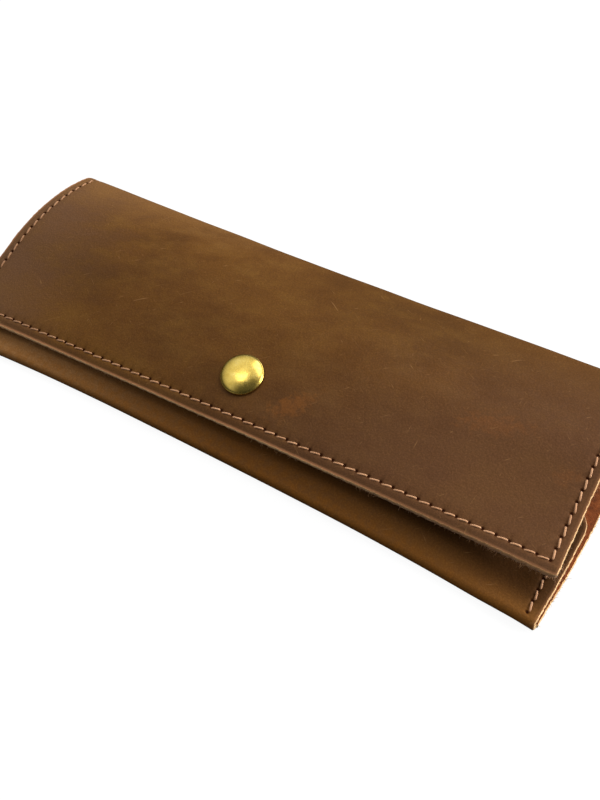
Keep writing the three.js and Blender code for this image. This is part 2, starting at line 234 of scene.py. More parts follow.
def stretches(x):
    """The hide's outer line at each x: seven (place, bend, length), front edge to mouth."""
    x = np.asarray(x, float)
    made = []

    def add(place, bend, length):
        made.append((place, bend, length))
        return advance(place, bend, length)

    heading = np.radians(across(FRONT_EDGE_SLOPE, x))
    place = (across(FRONT_EDGE_Y, x), across(FRONT_EDGE_Z, x), heading)
    place = add(place, across(LIP_CURVE, x), np.full_like(x, LIP_LENGTH))
    place = add(place, across(CROWN_CURVE, x), np.full_like(x, CROWN_LENGTH))

    centre_z = place[1] - BACK_FOLD_RADIUS * np.cos(place[2])
    hinge_heading = -np.arccos((HINGE_Z - centre_z) / BACK_FOLD_RADIUS)
    upper_bend = np.full_like(x, 1 / BACK_FOLD_RADIUS)
    place = add(place, upper_bend, (place[2] - hinge_heading) * BACK_FOLD_RADIUS)

    lower_radius = (HINGE_Z - seam_lift(x)) / (1 + np.cos(hinge_heading))
    place = add(place, 1 / lower_radius, (np.pi + hinge_heading) * lower_radius)

    bottom_radius = TWO_LAYERS / 2 + BULGE_FOLD_GROWTH * bulge(x)
    slope = BULGE_SLOPE * bulge(x)
    place = add(place, np.zeros_like(x), place[0] - bottom_y(x) - bottom_radius)
    place = add(place, 1 / bottom_radius, (np.pi - slope) * bottom_radius)
    add(place, BULGE_CURVE * bulge(x), np.full_like(x, FRONT_PANEL))
    return made


def pouch_half(y):
    """Half the pouch's length at y, with its bowed sides."""
    t = np.clip((HINGE_Y - y) / SIDE_BOW_SPAN, 0, 1)
    bow = np.where(t < 0.5, np.sin(np.pi * t), 1 - np.abs(2 * t - 1) ** SIDE_BOW_POWER)
    return HALF_LENGTH + SIDE_BOW * bow


def waves(x, s):
    """Slow waves over the flat hide, between about -1 and 1."""
    long_waves = 0.6 * np.sin(x / 17.0 + 0.9) * np.sin(s / 23.0 + 0.4)
    short_waves = 0.25 * np.sin(x / 7.3 + s / 11.0) + 0.15 * np.sin(x / 4.1 - s / 6.7 + 1.3)
    return long_waves + short_waves


def settle(x, y, z, s, stretch):
    """How far the soft hide strays out of its smooth line: the flap outwards, the panel inwards."""
    clear_of_table = smoothstep(z / FREE_OF_TABLE)
    clear_of_snap = 1 - falloff(np.hypot(x, y - SNAP_Y) / SNAP_HOLDS)
    if stretch >= BACK:
        depth = -PANEL_SINK * (0.5 + 0.5 * waves(x, s)) * bulge(x)
    else:
        over_panel = smoothstep((RESTS_BEFORE - s) / RESTS_WITHIN)
        ripple = EDGE_RIPPLE * (1 + np.sin(x / 5.6 + 0.5 * np.sin(x / 13.0))) * np.exp(-s / 5.0)
        depth = FLAP_WANDER * (over_panel + waves(x, s)) + ripple
    return depth * clear_of_table * clear_of_snap


def hide(x, stretch, share):
    """Position, direction along, direction out and flat distance, for arrays x and share."""
    x = np.asarray(x, float)
    parts = stretches(x)
    place, bend, length = parts[stretch]
    y, z, heading = advance(place, bend, length * share)
    s = sum(part[2] for part in parts[:stretch]) + length * share
    nought = np.zeros_like(x)
    out = np.stack([nought, -np.sin(heading), np.cos(heading)], -1)
    along = np.stack([nought, np.cos(heading), np.sin(heading)], -1)
    position = np.stack([x, y, z], -1) + out * settle(x, y, z, s, stretch)[..., None]
    return position, along, out, s


def on_hide(x, s):
    """The same for one x and a flat distance s from the flap's front edge."""
    left = float(s)
    parts = stretches(x)
    for stretch, (_, _, length) in enumerate(parts):
        if left <= float(length) or stretch == FRONT:
            position, along, out, _ = hide(x, stretch, left / float(length))
            return position, along, out
        left -= float(length)


def flat_start(x, stretch):
    """Flat distance from the flap's front edge to the beginning of a stretch."""
    return float(sum(part[2] for part in stretches(x)[:stretch]))


PANEL_BEGINS = flat_start(0.0, FRONT)
MOUTH_Y = float(hide(0.0, FRONT, 1.0)[0][1])


# ---- where the needle went


def front_run():
    """Flat (x, s) of the holes along the flap's front, left to right."""
    return [(-STITCH_X + k * PITCH, FRONT_INSET) for k in range(FRONT_STITCHES + 1)]


def side_run(side):
    """Flat (x, s) of the holes from the front corner over the fold to the bottom corner."""
    seam = side * STITCH_X
    end = flat_start(seam, BOTTOM_FOLD) - SEAM_END_INSET
    fold = flat_start(seam, LOWER_FOLD)
    holes = []
    for s in np.linspace(FRONT_INSET, end, round((end - FRONT_INSET) / PITCH) + 1):
        y = on_hide(seam, s)[0][1]
        x = STITCH_X if s < fold else STITCH_X + SEAM_FOLLOWS_BOW * (pouch_half(y) - HALF_LENGTH)
        holes.append((side * float(x), float(s)))
    return holes


def panel_run(side):
    """Flat (x, s) on the front panel of the holes through both layers, bottom corner to mouth."""
    seam = side * STITCH_X
    mouth_y = float(hide(seam, FRONT, 1.0)[0][1]) - MOUTH_INSET
    start = flat_start(seam, FRONT)
    start_y = float(hide(seam, FRONT, 0.0)[0][1])
    holes = []
    for x, s in reversed(side_run(side)):
        y = float(on_hide(x, s)[0][1])
        if s > flat_start(seam, BACK) and y < mouth_y:
            holes.append((x, start + y - start_y))
    return holes


SIDE_RUNS = {side: side_run(side) for side in (-1, 1)}
PANEL_RUNS = {side: panel_run(side) for side in (-1, 1)}
ALL_RUNS = [front_run(), *SIDE_RUNS.values(), *PANEL_RUNS.values()]


def near_stitching(x, s):
    """Distances to the nearest needle hole and to the nearest stitch line."""
    to_hole = to_line = np.full(x.shape, 99.0)
    place = np.stack([x, s], -1)
    for run in ALL_RUNS:
        holes = np.array(run)
        for a, b in zip(holes[:-1], holes[1:]):
            step = b - a
            t = np.clip(((place - a) @ step) / (step @ step), 0, 1)
            to_line = np.minimum(to_line, np.linalg.norm(place - a - t[..., None] * step, axis=-1))
        for hole in holes:
            to_hole = np.minimum(to_hole, np.linalg.norm(place - hole, axis=-1))
    return to_hole, to_line


# ---- leather sheets

GRAIN, FLESH, CUT_EDGE = range(3)


def sheet_points(rows, columns, half_at):
    """Grids of position, direction along, direction out and flat place."""
    columns = np.array(columns)
    grids = ([], [], [], [])
    for stretch, share in rows:
        x = columns * half_at(stretch, share)
        position, along, out, s = hide(x, stretch, share)
        for grid, values in zip(grids, (position, along, out, np.stack([x, s], -1))):
            grid.append(values)
    return [np.array(grid) for grid in grids]


def outline_ring(row_count, column_count):
    """The (row, column) places round a grid's rim, in order."""
    ring = [(0, c) for c in range(column_count)]
    ring += [(r, column_count - 1) for r in range(1, row_count)]
    ring += [(row_count - 1, c) for c in range(column_count - 2, -1, -1)]
    ring += [(r, 0) for r in range(row_count - 2, 0, -1)]
    return np.array(ring)


def rim_directions(along, cut_start, cut_end):
    """Where the rim's places face, square to their cut edge."""
    away = np.zeros(along.shape)
    away[:, 0, 0] -= 1
    away[:, -1, 0] += 1
    if cut_start:
        away[0] -= along[0]
    if cut_end:
        away[-1] += along[-1]
    return away / np.maximum(np.linalg.norm(away, axis=-1, keepdims=True), 1e-9)


def cut_places(ring, row_count, cut_start, cut_end):
    """Which steps along the rim are on a cut edge."""
    row, following = ring[:, 0], np.roll(ring[:, 0], -1)
    is_cut = np.ones(len(ring), bool)
    for end, cut in ((0, cut_start), (row_count - 1, cut_end)):
        is_cut &= cut | (row != end) | (following != end)
    return is_cut


def sheet_faces(shape, ring, is_cut):
    """Faces and material numbers: grain grid, flesh grid and the cut walls between them."""
    grid = shape[0] * shape[1]
    at = np.arange(grid).reshape(shape)
    quads = np.stack([at[:-1, :-1], at[:-1, 1:], at[1:, 1:], at[1:, :-1]], -1).reshape(-1, 4)
    rim = at[tuple(ring.T)]
    levels = [rim]
    levels += [2 * grid + k * len(ring) + np.arange(len(ring)) for k in range(len(EDGE_SECTION))]
    levels.append(rim + grid)
    faces = [quads, quads[:, ::-1] + grid]
    kinds = [np.full(len(quads), GRAIN), np.full(len(quads), FLESH)]
    for upper, lower in zip(levels[:-1], levels[1:]):
        wall = np.stack([upper, lower, np.roll(lower, -1), np.roll(upper, -1)], -1)[is_cut]
        faces.append(wall)
        kinds.append(np.full(len(wall), CUT_EDGE))
    return np.concatenate(faces).tolist(), np.concatenate(kinds)


def edge_wear(position, s, cut_start, cut_end):
    """1 at a cut edge, falling to 0 a little way in from it."""
    from_rim = np.abs(np.abs(position[..., 0]) - np.abs(position[:, -1:, 0]))
    for row, is_cut in ((0, cut_start), (-1, cut_end)):
        if is_cut:
            from_rim = np.minimum(from_rim, np.abs(s - s[row, 0]))
    return falloff(from_rim / WEAR_WIDTH)


def sheet(name, rows, columns, half_at, cut_start, cut_end):
    """A thick leather sheet with needle holes and cut edges, and the places on those edges."""
    position, along, out, flat = sheet_points(rows, columns, half_at)
    x, s = flat[..., 0], flat[..., 1]
    to_hole, to_line = near_stitching(x, s)
    pressed = GROOVE * falloff(to_line / GROOVE_WIDTH)
    pressed += HOLE_DIMPLE * falloff(to_hole / HOLE_RADIUS)
    outer = position - out * pressed[..., None]
    inner = position - out * (LEATHER - SHOWS_INSIDE * pressed)[..., None]

    away = rim_directions(along, cut_start, cut_end)
    ragged = 0.06 * np.sin(1.9 * x + 2.3 * s) + 0.04 * np.sin(4.7 * s)
    ring = outline_ring(*x.shape)
    rim = tuple(ring.T)
    is_cut = cut_places(ring, len(rows), cut_start, cut_end)
    walls = []
    places = [np.column_stack([flat.reshape(-1, 2), np.full(x.size, depth)]) for depth in (0.0, -LEATHER)]
    for depth, outset in EDGE_SECTION:
        level = outer + (inner - outer) * depth + away * (outset + ragged)[..., None]
        walls.append(level[rim])
        places.append(np.column_stack([flat[rim], np.full(len(ring), -LEATHER * depth)]))
    outer = outer + away * (ragged - EDGE_ROUND)[..., None]
    inner = inner + away * (ragged - EDGE_ROUND)[..., None]

    vertices = np.concatenate([outer.reshape(-1, 3), inner.reshape(-1, 3), *walls])
    piece = make_mesh(name, vertices, *sheet_faces(x.shape, ring, is_cut))
    store(piece, "hide_place", np.concatenate(places))
    on_walls = np.ones(len(walls) * len(ring))
    wear = edge_wear(position, s, cut_start, cut_end)
    for attribute, values, on_wall in (("to_hole", to_hole, NO_HOLE_NEAR), ("edge_wear", wear, 1.0)):
        store(piece, attribute, np.concatenate([values.ravel(), values.ravel(), on_wall * on_walls]))
    return piece, (outer[rim], inner[rim], away[rim], out[rim], is_cut)


def add_object(name, data):
    made = bpy.data.objects.new(name, data)
    bpy.context.scene.collection.objects.link(made)
    return made


def make_mesh(name, vertices, faces, kinds=None):
    """A smooth object from vertices in millimetres."""
    mesh = bpy.data.meshes.new(name)
    mesh.from_pydata((np.asarray(vertices) * MM).tolist(), [], faces)
    mesh.polygons.foreach_set("use_smooth", np.ones(len(mesh.polygons), bool))
    if kinds is not None:
        mesh.polygons.foreach_set("material_index", np.asarray(kinds, np.int32))
    mesh.update()
    return add_object(name, mesh)


def store(piece, name, values):
    """Keep a number or a vector per vertex for the materials to read."""
    kind, field = ("FLOAT", "value") if values.ndim == 1 else ("FLOAT_VECTOR", "vector")
    attribute = piece.data.attributes.new(name, kind, "POINT")
    attribute.data.foreach_set(field, np.asarray(values, np.float32).ravel())


def rows_with_holes(start, end, hole_places, spacing):
    """Places from start to end, spaced evenly and closer round each hole."""
    steps = max(int((end - start) / spacing), 1)
    places = list(np.linspace(start, end, steps + 1))
    for hole in hole_places:
        if start < hole < end:
            places = [p for p in places if abs(p - hole) > CLEAR_OF_HOLE or p in (start, end)]
            places += [hole + offset for offset in BESIDE_HOLE]
    return sorted(p for p in places if start <= p <= end)


def flap_rows():
    """Rows of the flap's sheet, front edge to the foot of the back fold."""
    places = rows_with_holes(0.0, LIP_LENGTH + CROWN_LENGTH, [s for _, s in SIDE_RUNS[1]], ROW_SPACING)
    places = sorted({*places, *FLAP_EDGE_ROWS})
    rows = [(LIP, s / LIP_LENGTH) for s in places if s < LIP_LENGTH]
    rows += [(CROWN, (s - LIP_LENGTH) / CROWN_LENGTH) for s in places[len(rows):-1]]
    rows += [(UPPER_FOLD, share) for share in np.linspace(0, 1, BACK_FOLD_ROWS)[:-1]]
    rows += [(LOWER_FOLD, share) for share in np.linspace(0, 1, BACK_FOLD_ROWS)]
    return rows


def flap_columns():
    """Columns of the flap's sheet, as shares of half its length."""
    places = rows_with_holes(-HALF_LENGTH, HALF_LENGTH, [x for x, _ in front_run()], COLUMN_SPACING)
    edges = [HALF_LENGTH - d for d in FLAP_EDGE_COLUMNS]
    places = sorted({*places, *edges, *(-e for e in edges)})
    return [x / HALF_LENGTH for x in places]


def rounded_corner(half, radius, from_end):
    """Half length of a row near an end with rounded corners."""
    if from_end >= radius:
        return half
    return half - radius + math.sqrt(radius**2 - (radius - from_end) ** 2)


def flap_half(stretch, share):
    """Half the length of a row of the flap."""
    if stretch == LOWER_FOLD:
        return float(pouch_half(hide(HALF_LENGTH, stretch, share)[0][1]))
    if stretch != LIP:
        return HALF_LENGTH
    return rounded_corner(HALF_LENGTH, FLAP_CORNER, LIP_LENGTH * share)


def panel_half(stretch, share):
    """Half the length of a row of the pouch; its back layer stands out past the front one."""
    y = float(hide(HALF_LENGTH, stretch, share)[0][1])
    half = float(pouch_half(y))
    if stretch == BACK:
        beside_mouth = BACK_LAYER_SPREAD * falloff(y / BACK_LAYER_SPAN)
        return half + (BACK_LAYER_STEP + beside_mouth) * min(share / 0.1, 1.0)
    if stretch == BOTTOM_FOLD:
        return half + BACK_LAYER_STEP * (1 - share)
    return rounded_corner(half, MOUTH_CORNER, FRONT_PANEL * (1 - share))


def pouch_rows():
    """Rows of the pouch's sheet, foot of the back fold to mouth."""
    back_start, back_end, panel_start = (flat_start(STITCH_X, part) for part in (BACK, BOTTOM_FOLD, FRONT))
    length = back_end - back_start
    back = rows_with_holes(0.0, length, [s - back_start for _, s in SIDE_RUNS[1]], ROW_SPACING)
    panel = rows_with_holes(0.0, FRONT_PANEL, [s - panel_start for _, s in PANEL_RUNS[1]], ROW_SPACING)
    turns = np.linspace(CORNER_STARTS, 0, CORNER_ROWS)
    corner = [FRONT_PANEL - MOUTH_CORNER * (1 - math.cos(turn)) for turn in turns]
    panel = sorted({*(p for p in panel if p < corner[0] - 0.2), *corner})
    rows = [(BACK, p / length) for p in back[:-1]]
    rows += [(BOTTOM_FOLD, share) for share in np.linspace(0, 1, BOTTOM_FOLD_ROWS)[:-1]]
    rows += [(FRONT, p / FRONT_PANEL) for p in panel]
    return rows


def pouch_columns():
    """Columns of the pouch's sheet, as shares of half its length."""
    half = HALF_LENGTH + SIDE_BOW
    inside = half - POUCH_EDGE_COLUMNS[-1] - 1.0
    middle = list(np.linspace(-inside, inside, POUCH_MIDDLE_COLUMNS))
    edges = [half - d for d in POUCH_EDGE_COLUMNS]
    return [x / half for x in sorted(middle + edges + [-e for e in edges])]


# ---- thread


def unit(vectors):
    return vectors / np.linalg.norm(vectors, axis=-1, keepdims=True)


def tube(rings):
    """Vertices and faces of a closed tube through rings of points."""
    count, sides = rings.shape[:2]
    at = np.arange(count * sides).reshape(count, sides)
    following = np.roll(at, -1, axis=1)
    faces = np.stack([at[:-1], following[:-1], following[1:], at[1:]], -1).reshape(-1, 4).tolist()
    faces += [at[0, ::-1].tolist(), at[-1].tolist()]
    return rings.reshape(-1, 3), faces


def cord(path, ups, phase):
    """A three-ply, slightly flattened cord along a path, with tapering ends."""
    sides, plies, turn_length = 10, 3, 2.4
    path = np.asarray(path)
    tangent = unit(np.gradient(path, axis=0))
    up = unit(ups - np.sum(ups * tangent, 1, keepdims=True) * tangent)
    sideways = np.cross(tangent, up)
    travelled = np.concatenate([[0], np.cumsum(np.linalg.norm(np.diff(path, axis=0), axis=1))])
    angle = np.linspace(0, 2 * np.pi, sides, endpoint=False)
    twist = 2 * np.pi * travelled[:, None] / turn_length + phase
    strands = np.abs(np.cos(plies / 2 * (angle[None] - twist)))
    thick = THREAD_RADIUS * (1 + PLY_HEIGHT * strands - PLY_DEPTH)
    from_end = np.minimum(travelled, travelled[-1] - travelled)
    thick = thick * np.clip(CORD_END + from_end / CORD_TAPER, 0, 1)[:, None]
    rise = (np.sin(angle)[None] * thick * CORD_FLATNESS)[..., None]
    spread = (np.cos(angle)[None] * thick)[..., None]
    return tube(path[:, None] + up[:, None] * rise + sideways[:, None] * spread)


def merge_parts(parts):
    """One list of vertices and one of faces from many."""
    vertices, faces, offset = [], [], 0
    for part_vertices, part_faces in parts:
        vertices.append(part_vertices)
        faces += [[i + offset for i in face] for face in part_faces]
        offset += len(part_vertices)
    return np.concatenate(vertices), faces


def stitch(a, b, up, phase, slant, rise):
    """One stitch: up beside hole a, across at a slant and down into hole b."""
    step = b - a
    up = unit(up)
    aside = unit(np.cross(up, step))
    path = []
    for t in STITCH_STEPS:
        arch = max(math.sin(math.pi * t), 0.0) ** STITCH_SQUARENESS
        forward = STITCH_MARGIN + (1 - 2 * STITCH_MARGIN) * t
        height = (STITCH_SUNK + rise) * arch - STITCH_SUNK
        path.append(a + step * forward + up * height - aside * slant * (1 - t))
    return cord(path, np.tile(up, (len(path), 1)), phase)


def stitches(places, seed):
    """A row of stitches through (position, out) places."""
    random = np.random.default_rng(seed)
    parts = []
    for (a, up_a), (b, up_b) in zip(places[:-1], places[1:]):
        slant = STITCH_SLANT + random.normal(0, STITCH_SLANT_VARIES)
        rise = STITCH_RISE + random.normal(0, STITCH_RISE_VARIES)
        parts.append(stitch(a, b, up_a + up_b, random.uniform(0, 6.28), slant, rise))
    return parts


def back_tack(run):
    """The last seam stitch before the mouth, sewn over itself twice more."""
    (a, up_a), (b, up_b) = outer_places(run[-2:])
    return [stitch(a, b, up_a + up_b, phase, slant, rise) for phase, slant, rise in BACK_TACK]


def outer_places(run):
    """Position and outward direction of a run's holes, on the grain side."""
    return [(position, out) for position, _, out in (on_hide(x, s) for x, s in run)]


def inner_places(run):
    """The same on the flesh side, facing inwards."""
    return [(position - out * LEATHER, -out) for position, out in outer_places(run)]


# ---- loose fibres on the cut edges


def fibre(root, direction, droop, length, width):
    """Vertices and faces of one tapering, curling fibre."""
    steps, sides = 4, 3
    direction = unit(direction)
    aside = unit(np.cross(direction, [0.31, 0.52, 0.79]))
    other = np.cross(direction, aside)
    vertices = []
    for t in np.arange(steps) / steps:
        centre = root + direction * length * t + droop * length * t * t
        for angle in 2 * np.pi * np.arange(sides) / sides:
            spoke = aside * np.cos(angle) + other * np.sin(angle)
            vertices.append(centre + spoke * width * (1 - FIBRE_TAPER * t))
    tip = len(vertices)
    vertices.append(root + direction * length + droop * length)
    faces = [[2, 1, 0]]
    for first in range(0, tip, sides):
        for side in range(sides):
            a, b = first + side, first + (side + 1) % sides
            faces.append([a, b, b + sides, a + sides] if first + sides < tip else [a, b, tip])
    return np.array(vertices), faces


def fibres(name, edge, per_mm, seed):
    """Fibres along a sheet's cut edges, thicker in some stretches than in others."""
    random = np.random.default_rng(seed)
    outer, inner, away, out, is_cut = edge
    following = np.roll(outer, -1, axis=0)
    parts = []
    for i in np.flatnonzero(is_cut):
        gap = np.linalg.norm(following[i] - outer[i])
        x, y = outer[i][:2]
        tufts = 0.3 + 1.4 * max(0.0, math.sin(x / 6.1 + 1.7 * math.sin(y / 4.0 + x / 17)))
        for _ in range(random.poisson(per_mm * gap * tufts)):
            deep = random.uniform(0.6, 1.0)
            root = outer[i] + (inner[i] - outer[i]) * deep + (following[i] - outer[i]) * random.random()
            direction = away[i] * random.uniform(0.4, 1.0) - out[i] * random.uniform(0.0, 0.7)
            direction += random.normal(0, 0.4, 3)
            droop = random.normal(0, 0.3, 3) - [0, 0, 0.1]
            length = min(FIBRE_SHORTEST + random.exponential(FIBRE_SPREAD), FIBRE_LONGEST)
            parts.append(fibre(root, direction, droop, length, random.uniform(*FIBRE_WIDTH)))
    return make_mesh(name, *merge_parts(parts))


# ---- snap


def snap_axis():
    """The snap's place on the flap, the direction out along its axis, and one across."""
    position, _, out = on_hide(0.0, SNAP_FROM_EDGE)
    return position, out, np.array([1.0, 0.0, 0.0])


def turned(name, outline, steps=96):
    """A turned piece on the snap's axis, from (radius, depth) corners round its outline."""
    position, out, sideways = snap_axis()
    back = np.cross(sideways, out)
    vertices, faces, rings = [], [], []
    for radius, depth in outline:
        centre = position - out * depth
        if radius == 0:
            rings.append([len(vertices)] * steps)
            vertices.append(centre)
            continue
        rings.append(list(range(len(vertices), len(vertices) + steps)))
        for angle in 2 * np.pi * np.arange(steps) / steps:
            vertices.append(centre + radius * (np.cos(angle) * sideways + np.sin(angle) * back))
    pairs = list(zip(rings[:-1], rings[1:]))
    if outline[0][0] > 0:
        pairs.append((rings[-1], rings[0]))
    for lower, upper in pairs:
        for k in range(steps):
            following = (k + 1) % steps
            face = [lower[k], lower[following], upper[following], upper[k]]
            faces.append(list(dict.fromkeys(face)))
    piece = make_mesh(name, vertices, faces)
    face_outwards(piece.data)
    return piece


def face_outwards(mesh):
    work = bmesh.new()
    work.from_mesh(mesh)
    bmesh.ops.recalc_face_normals(work, faces=work.faces)
    work.to_mesh(mesh)
    work.free()


def cap_outline():
    """The cap: a rivet through the flap, a curled rim and a low dome."""
    outline = [(0.0, 3.15), (2.1, 3.15), (2.2, 3.05), (2.15, 2.87), (1.6, 2.85), (1.6, -GAP)]
    bead = CAP_RADIUS - CAP_CURL
    for turn in np.radians(np.linspace(*CAP_CURL_SPAN, 14)):
        outline.append((bead + CAP_CURL * math.cos(turn), -GAP - CAP_CURL * (1 + math.sin(turn))))
    dome_radius, dome_depth = outline[-1]
    for from_middle in 1 - np.linspace(0, 1, 22)[1:] ** 1.4:
        height = CAP_DOME * (1 - from_middle**2.3) ** 0.72
        outline.append((dome_radius * from_middle, dome_depth - height))
    return outline


def socket_outline():
    """The socket: a plate under the flap, a throat that takes the stud, and a rolled rim round it."""
    return [
        (1.9, 2.5), (3.85, 2.5), (3.9, 2.6), (3.9, 4.3), (2.75, 4.3), (2.6, 4.4), (2.6, 4.62), (2.7, 4.7),
        (4.8, 4.7), (5.05, 4.6), (5.2, 4.3), (5.2, 2.3), (5.1, 2.08), (4.9, 2.0), (1.9, 2.0),
    ]


def stud_outline():
    """The stud: a flange on the front panel, bored from below, and a round knob on a neck."""
    bore = [(0.0, 4.5), (1.5, 4.5), (1.5, 5.65)]
    flange = [(4.55, 5.65), (4.75, 5.5), (4.7, 5.3), (4.45, 5.15), (3.6, 5.05), (2.2, 5.15), (1.95, 5.08)]
    turns = np.linspace(0, math.pi / 2, 12)[:-1]
    knob = [(2.0 * math.cos(turn), 5.0 - 1.5 * math.sin(turn)) for turn in turns]
    return [*bore, *flange, *knob, (0.0, 3.5)]


def post_outline():
    """The post: a wide head inside the pouch and a shank that rises into the stud."""
    head = [(0.0, 8.45), (3.9, 8.45), (4.15, 8.35), (4.25, 8.2), (4.2, 8.0), (4.05, 7.95)]
    shank = [(1.2, 7.95), (1.2, 4.95), (1.05, 4.8), (0.0, 4.8)]
    return head + shank


def spring_ring(name):
    """The split wire ring inside the socket."""
    position, out, sideways = snap_axis()
    back = np.cross(out, sideways)
    turns = np.radians(np.linspace(*SPRING_SPAN, 60))[:, None]
    path = position - out * SPRING_DEPTH + SPRING_RADIUS * (np.cos(turns) * sideways + np.sin(turns) * back)
    aside = np.cross(unit(np.gradient(path, axis=0)), out)
    angle = np.linspace(0, 2 * np.pi, SPRING_SIDES, endpoint=False)[:, None]
    spokes = np.cos(angle) * aside[:, None] + np.sin(angle) * out
    return make_mesh(name, *tube(path[:, None] + SPRING_WIRE * spokes))


# ---- materials

# Screen colours of the grain side.
DARK_OIL = (86, 55, 24)
OIL = (96, 61, 25)
LIGHT_OIL = (107, 70, 28)
WARM_PATCH = (116, 80, 34)
DARK_PATCH = (76, 47, 20)
WORN_ORANGE = (134, 80, 30)
# painted cool reflection on the flap's front right
COOL_REFLECTION_BROWN = (92, 61, 41)
# painted grey reflection and painted light at the flap's left end
GREY_LIGHT_AND_REFLECTION = (110, 79, 56)
SHADED_BROWN = (80, 52, 22)
# paler where the hide is bent, and painted light on the left part of the back fold
FOLD_PALE_AND_LIGHT = (128, 90, 50)
PANEL_TAN = (127, 82, 36)
# painted light on the front panel's left
PANEL_LEFT_LIGHT = (162, 118, 72)
CREASE_ORANGE = (138, 84, 26)
# painted shade on the front panel under the flap's lip
UNDER_FLAP_SHADE = (50, 29, 14)
# painted shade along the flap's front margin
FRONT_MARGIN_SHADE = (66, 42, 22)
SCUFF = (160, 118, 72)
WORN_EDGE = (204, 142, 98)
# painted shade round and in the needle holes
HOLE_RIM_SHADE = (60, 34, 18)
HOLE_SHADE = (52, 25, 13)

# Spots where the oil has pulled back and the hide shows orange: centre, half sizes, turn.
WORN_SPOTS = (
    ((17.0, 12.5), (7.0, 3.0), 0.8),
    ((67.0, 31.0), (9.0, 3.4), 0.3),
    ((89.0, 26.0), (3.4, 2.2), 0.6),
)

# Turn, stretch along the scuff, and how strong the pattern must be to show.
SCUFF_DIRECTIONS = ((0.7, 0.15, 0.66), (-0.6, 0.13, 0.67), (1.5, 0.18, 0.675))


def srgb(red, green, blue):
    """A colour given as 0-255 screen values, as Blender wants it."""
    linear = []
    for value in (red, green, blue):
        value /= 255
        linear.append(value / 12.92 if value <= 0.04045 else ((value + 0.055) / 1.055) ** 2.4)
    return (*linear, 1.0)


class Shader:
    """A node tree, built a node at a time."""

    def __init__(self, tree):
        self.tree = tree

    def node(self, kind, inputs=None, **settings):
        node = self.tree.nodes.new("ShaderNode" + kind)
        for key, value in settings.items():
            setattr(node, key, value)
        self.fill(node, inputs or {})
        return node

    def fill(self, node, inputs):
        for socket, value in inputs.items():
            if isinstance(value, bpy.types.NodeSocket):
                self.tree.links.new(value, node.inputs[socket])
            else:
                node.inputs[socket].default_value = value

    def attribute(self, name):
        """A stored value; hide_place is (x, flat distance from the front edge, depth)."""
        node = self.node("Attribute", attribute_name=name)
        return node.outputs["Vector" if name == "hide_place" else "Fac"]

    def split(self, vector):
        return self.node("SeparateXYZ", {0: vector}).outputs[:]

    def object_mm(self):
        place = self.node("TexCoord").outputs["Object"]
        return self.node("VectorMath", {0: place, "Scale": 1 / MM}, operation="SCALE").outputs[0]

    def stretched(self, place, stretch, turn=0.0, centre=(0.0, 0.0)):
        """Place measured from a centre, turned about Z and then multiplied axis by axis."""
        inputs = {"Vector": place, "Location": (*centre, 0.0), "Rotation": (0, 0, turn)}
        inputs["Scale"] = tuple(1 / factor for factor in stretch)
        return self.node("Mapping", inputs, vector_type="TEXTURE").outputs[0]

    def noise(self, place, scale, detail=3.0, roughness=0.5, distortion=0.0):
        inputs = dict(Vector=place, Scale=scale, Detail=detail, Roughness=roughness, Distortion=distortion)
        return self.node("TexNoise", inputs).outputs["Fac"]

    def cells(self, place, scale):
        node = self.node("TexVoronoi", {"Vector": place, "Scale": scale}, feature="SMOOTH_F1")
        return node.outputs["Distance"]

    def between(self, value, low, high, to_low=0.0, to_high=1.0):
        """to_low where the value is low, easing to to_high where it is high."""
        inputs = {"Value": value, "From Min": low, "From Max": high, "To Min": to_low, "To Max": to_high}
        return self.node("MapRange", inputs, interpolation_type="SMOOTHSTEP").outputs[0]

    def math(self, operation, *values):
        return self.node("Math", dict(enumerate(values)), operation=operation).outputs[0]

    def add(self, first, second):
        return self.math("ADD", first, second)

    def times(self, first, second):
        return self.math("MULTIPLY", first, second)

    def ramp(self, value, *stops):
        node = self.node("ValToRGB", {"Fac": value})
        elements = node.color_ramp.elements
        while len(elements) < len(stops):
            elements.new(0.5)
        for element, (place, colour) in zip(elements, stops):
            element.position = place
            element.color = colour
        return node.outputs["Color"]

    def mix(self, share, first, second, blend="MIX"):
        node = self.node("Mix", data_type="RGBA", blend_type=blend)
        sockets = {socket.name: number for number, socket in enumerate(node.inputs) if socket.enabled}
        self.fill(node, {sockets["Factor"]: share, sockets["A"]: first, sockets["B"]: second})
        return next(socket for socket in node.outputs if socket.enabled)

    def bump(self, height, distance_mm, strength=1.0, normal=None):
        inputs = {"Height": height, "Distance": distance_mm * MM, "Strength": strength}
        if normal is not None:
            inputs["Normal"] = normal
        return self.node("Bump", inputs).outputs["Normal"]


class Material(Shader):
    """A material whose colour is laid on coat by coat."""

    def __init__(self, name):
        self.material = bpy.data.materials.new(name)
        self.material.use_nodes = True
        super().__init__(self.material.node_tree)

    def base(self, pattern, *stops):
        """The first coat, from (place, screen colour) stops along a pattern."""
        self.colour = self.ramp(pattern, *((place, srgb(*colour)) for place, colour in stops))

    def tint(self, share, colour):
        """A coat of a screen colour, as opaque as the share."""
        self.colour = self.mix(share, self.colour, srgb(*colour))

    def finish(self, **inputs):
        surface = self.tree.nodes["Principled BSDF"]
        self.fill(surface, {name.replace("_", " "): value for name, value in inputs.items()})
        self.fill(surface, {"Base Color": self.colour})
        return self.material


def scuffs(mat, place):
    """Hairline scuffs that cross one another."""
    marks = 0.0
    for turn, length, low in SCUFF_DIRECTIONS:
        wandering = mat.stretched(place, (length, 1.7, 1.0), turn)
        lines = mat.noise(wandering, 1.0, 3.0, 0.6, 0.6)
        marks = mat.math("MAXIMUM", marks, mat.between(lines, low, low + 0.1))
    return marks


